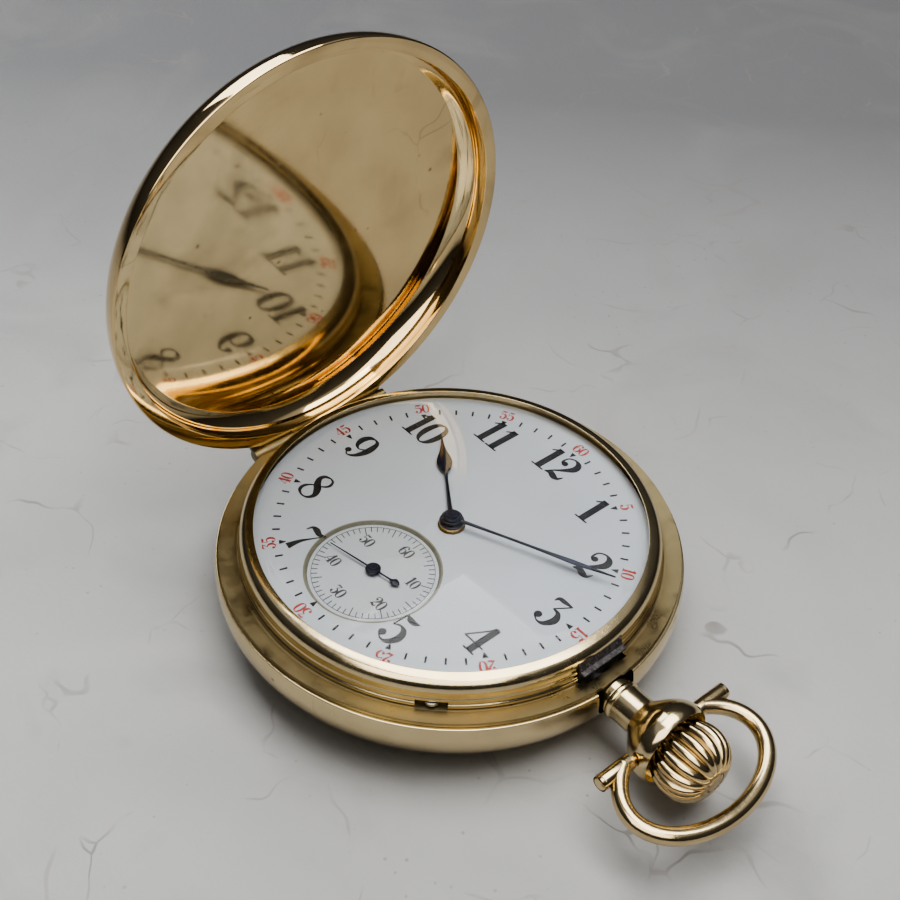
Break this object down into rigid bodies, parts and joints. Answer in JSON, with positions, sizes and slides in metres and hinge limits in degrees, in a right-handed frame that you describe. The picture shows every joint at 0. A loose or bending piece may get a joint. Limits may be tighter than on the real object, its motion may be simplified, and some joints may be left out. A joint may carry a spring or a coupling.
{
  "type": "pocket watch",
  "caption": "Round lever-set hunter pocket watch with a hinged front lid, back, inner cover, swinging bow and a working keyless movement.",
  "frame": {"origin": "centre of the small flat that the back rests on, on the watch's axis", "axes": "+Z leaves the dial, +Y points to twelve o'clock, +X runs along the pendant; the lids' joints are at -X"},
  "size_m": [0.0706, 0.0508, 0.0563],
  "materials": {
    "case_gold": "polished pale gold with hairline scratches",
    "crown_gold": "polished pale gold, dark in the flutes",
    "cuvette_gold": "polished gold sheet",
    "steel": "ground steel",
    "dark_steel": "dull darkened steel",
    "blued_steel": "polished blue-black steel",
    "nickel": "striped nickel plate",
    "movement_brass": "gilt brass",
    "enamel": "glossy fired enamel on copper",
    "seconds_enamel": "glossy fired enamel",
    "crystal": "clear polished glass",
    "ruby": "clear red jewel"
  },
  "bodies": {
    "case": {"case_centre": "case_gold", "pendant": "case_gold", "pendant_sleeve": "steel", "bezel": "case_gold", "crystal": "crystal", "front_hinge_pin": "steel", "back_hinge_pin": "steel", "cuvette_hinge_pin": "steel", "lock_spring": "steel", "lift_spring": "steel", "bow_screws": "steel", "dial": "enamel", "seconds_dial": "seconds_enamel", "dial_screws": "steel", "pillar_plate": "nickel", "barrel_bridge": "nickel", "train_bridge": "nickel", "balance_cock": "nickel", "pallet_bridge": "nickel", "bridge_screws": "steel", "case_screws": "steel", "crown_wheel_screw": "steel", "click_spring": "steel", "jewels": "ruby"},
    "front_cover": {"front_lid": "case_gold"},
    "back_cover": {"back_lid": "case_gold"},
    "inner_cover": {"cuvette": "cuvette_gold"},
    "bow_ring": {"bow": "case_gold"},
    "winding": {"winding_pinion": "steel", "clutch_pinion": "steel"},
    "crown_and_stem": {"crown": "crown_gold", "winding_stem": "steel"},
    "catch": {"lock_catch": "dark_steel"},
    "lever": {"setting_lever": "steel"},
    "crown_gear": {"crown_wheel": "steel"},
    "ratchet": {"ratchet_wheel": "steel", "ratchet_screw": "steel", "barrel_arbor": "steel", "mainspring": "steel"},
    "click_pawl": {"click": "steel"},
    "minute_train": {"centre_wheel": "movement_brass", "cannon_pinion": "steel", "minute_hand": "blued_steel"},
    "third_train": {"third_wheel": "movement_brass"},
    "second_train": {"fourth_wheel": "movement_brass", "seconds_hand": "blued_steel"},
    "escape_train": {"escape_wheel": "steel"},
    "barrel_drum": {"mainspring_barrel": "movement_brass", "barrel_cover": "movement_brass"},
    "motion_wheel": {"minute_wheel": "movement_brass"},
    "hour_train": {"hour_wheel": "movement_brass", "hour_hand": "blued_steel"},
    "balance": {"balance_wheel": "movement_brass", "balance_screws": "movement_brass", "balance_staff": "steel", "impulse_roller": "ruby", "hairspring": "blued_steel"},
    "lever_fork": {"pallet_fork": "steel", "pallet_stones": "ruby"},
    "rate_lever": {"regulator": "steel"}
  },
  "joints": [
    {"name": "front_cover_hinge", "type": "hinge", "parent": "case", "child": "front_cover", "pos_m": [-0.0238, 0, 0.008], "axis": [0, -1, 0], "range_deg": [-86, 4]},
    {"name": "back_cover_hinge", "type": "hinge", "parent": "case", "child": "back_cover", "pos_m": [-0.02405, 0, 0.0056], "axis": [0, 1, 0], "range_deg": [0, 95]},
    {"name": "inner_cover_hinge", "type": "hinge", "parent": "case", "child": "inner_cover", "pos_m": [-0.0227, 0, 0.0033], "axis": [0, 1, 0], "range_deg": [0, 58]},
    {"name": "bow_swing", "type": "hinge", "parent": "case", "child": "bow_ring", "pos_m": [0.0316, 0, 0.0064], "axis": [0, 1, 0], "range_deg": [-100, 80]},
    {"name": "crown_spin", "type": "hinge", "parent": "case", "child": "winding", "pos_m": [0.0165, 0, 0.0062], "axis": [1, 0, 0], "continuous": true},
    {"name": "crown_push", "type": "slide", "parent": "winding", "child": "crown_and_stem", "axis": [-1, 0, 0], "range_m": [0, 0.0006]},
    {"name": "catch_slide", "type": "slide", "parent": "case", "child": "catch", "axis": [-1, 0, 0], "range_m": [0, 0.0006]},
    {"name": "lever_pull", "type": "slide", "parent": "case", "child": "lever", "axis": [0.7071, -0.7071, 0], "range_m": [0, 0.0025]},
    {"name": "crown_wheel_spin", "type": "hinge", "parent": "case", "child": "crown_gear", "pos_m": [0.012, 0, 0.0034], "axis": [0, 0, 1], "continuous": true},
    {"name": "ratchet_spin", "type": "hinge", "parent": "case", "child": "ratchet", "pos_m": [0.00396, 0.00808, 0.0034], "axis": [0, 0, 1], "continuous": true},
    {"name": "click_lift", "type": "hinge", "parent": "case", "child": "click_pawl", "pos_m": [-0.00164, 0.01525, 0.0033], "axis": [0, 0, 1], "range_deg": [0, 8]},
    {"name": "minute_spin", "type": "hinge", "parent": "case", "child": "minute_train", "pos_m": [0, 0, 0.008], "axis": [0, 0, 1], "continuous": true},
    {"name": "third_spin", "type": "hinge", "parent": "case", "child": "third_train", "pos_m": [0.00386, -0.00608, 0.005], "axis": [0, 0, 1], "continuous": true},
    {"name": "second_spin", "type": "hinge", "parent": "case", "child": "second_train", "pos_m": [0, -0.0106, 0.005], "axis": [0, 0, 1], "continuous": true},
    {"name": "escape_spin", "type": "hinge", "parent": "case", "child": "escape_train", "pos_m": [-0.00491, -0.01255, 0.005], "axis": [0, 0, 1], "continuous": true},
    {"name": "barrel_spin", "type": "hinge", "parent": "case", "child": "barrel_drum", "pos_m": [0.00396, 0.00808, 0.005], "axis": [0, 0, 1], "continuous": true},
    {"name": "motion_spin", "type": "hinge", "parent": "case", "child": "motion_wheel", "pos_m": [-0.0036, 0, 0.0085], "axis": [0, 0, 1], "continuous": true},
    {"name": "hour_spin", "type": "hinge", "parent": "case", "child": "hour_train", "pos_m": [0, 0, 0.009], "axis": [0, 0, 1], "continuous": true},
    {"name": "balance_swing", "type": "hinge", "parent": "case", "child": "balance", "pos_m": [-0.0105, -0.0053, 0.004], "axis": [0, 0, 1], "range_deg": [-135, 135], "deforming": ["hairspring"]},
    {"name": "fork_swing", "type": "hinge", "parent": "case", "child": "lever_fork", "pos_m": [-0.00731, -0.0094, 0.005], "axis": [0, 0, 1], "range_deg": [-4, 4]},
    {"name": "rate_swing", "type": "hinge", "parent": "case", "child": "rate_lever", "pos_m": [-0.0105, -0.0053, 0.0022], "axis": [0, 0, 1], "range_deg": [-15, 15]}
  ],
  "couplings": [
    {"joint": "inner_cover_hinge", "follows": "back_cover_hinge", "ratio": 0.6},
    {"joint": "catch_slide", "follows": "crown_push", "ratio": 1},
    {"joint": "crown_wheel_spin", "follows": "crown_spin", "ratio": 0.53333},
    {"joint": "ratchet_spin", "follows": "crown_spin", "ratio": -0.34783},
    {"joint": "minute_spin", "follows": "second_spin", "ratio": 0.016667},
    {"joint": "third_spin", "follows": "second_spin", "ratio": -0.13333},
    {"joint": "escape_spin", "follows": "second_spin", "ratio": -10},
    {"joint": "barrel_spin", "follows": "second_spin", "ratio": -0.0020833},
    {"joint": "motion_spin", "follows": "second_spin", "ratio": -0.0055556},
    {"joint": "hour_spin", "follows": "second_spin", "ratio": 0.0013889},
    {"joint": "fork_swing", "follows": "balance_swing", "ratio": -0.029}
  ]
}
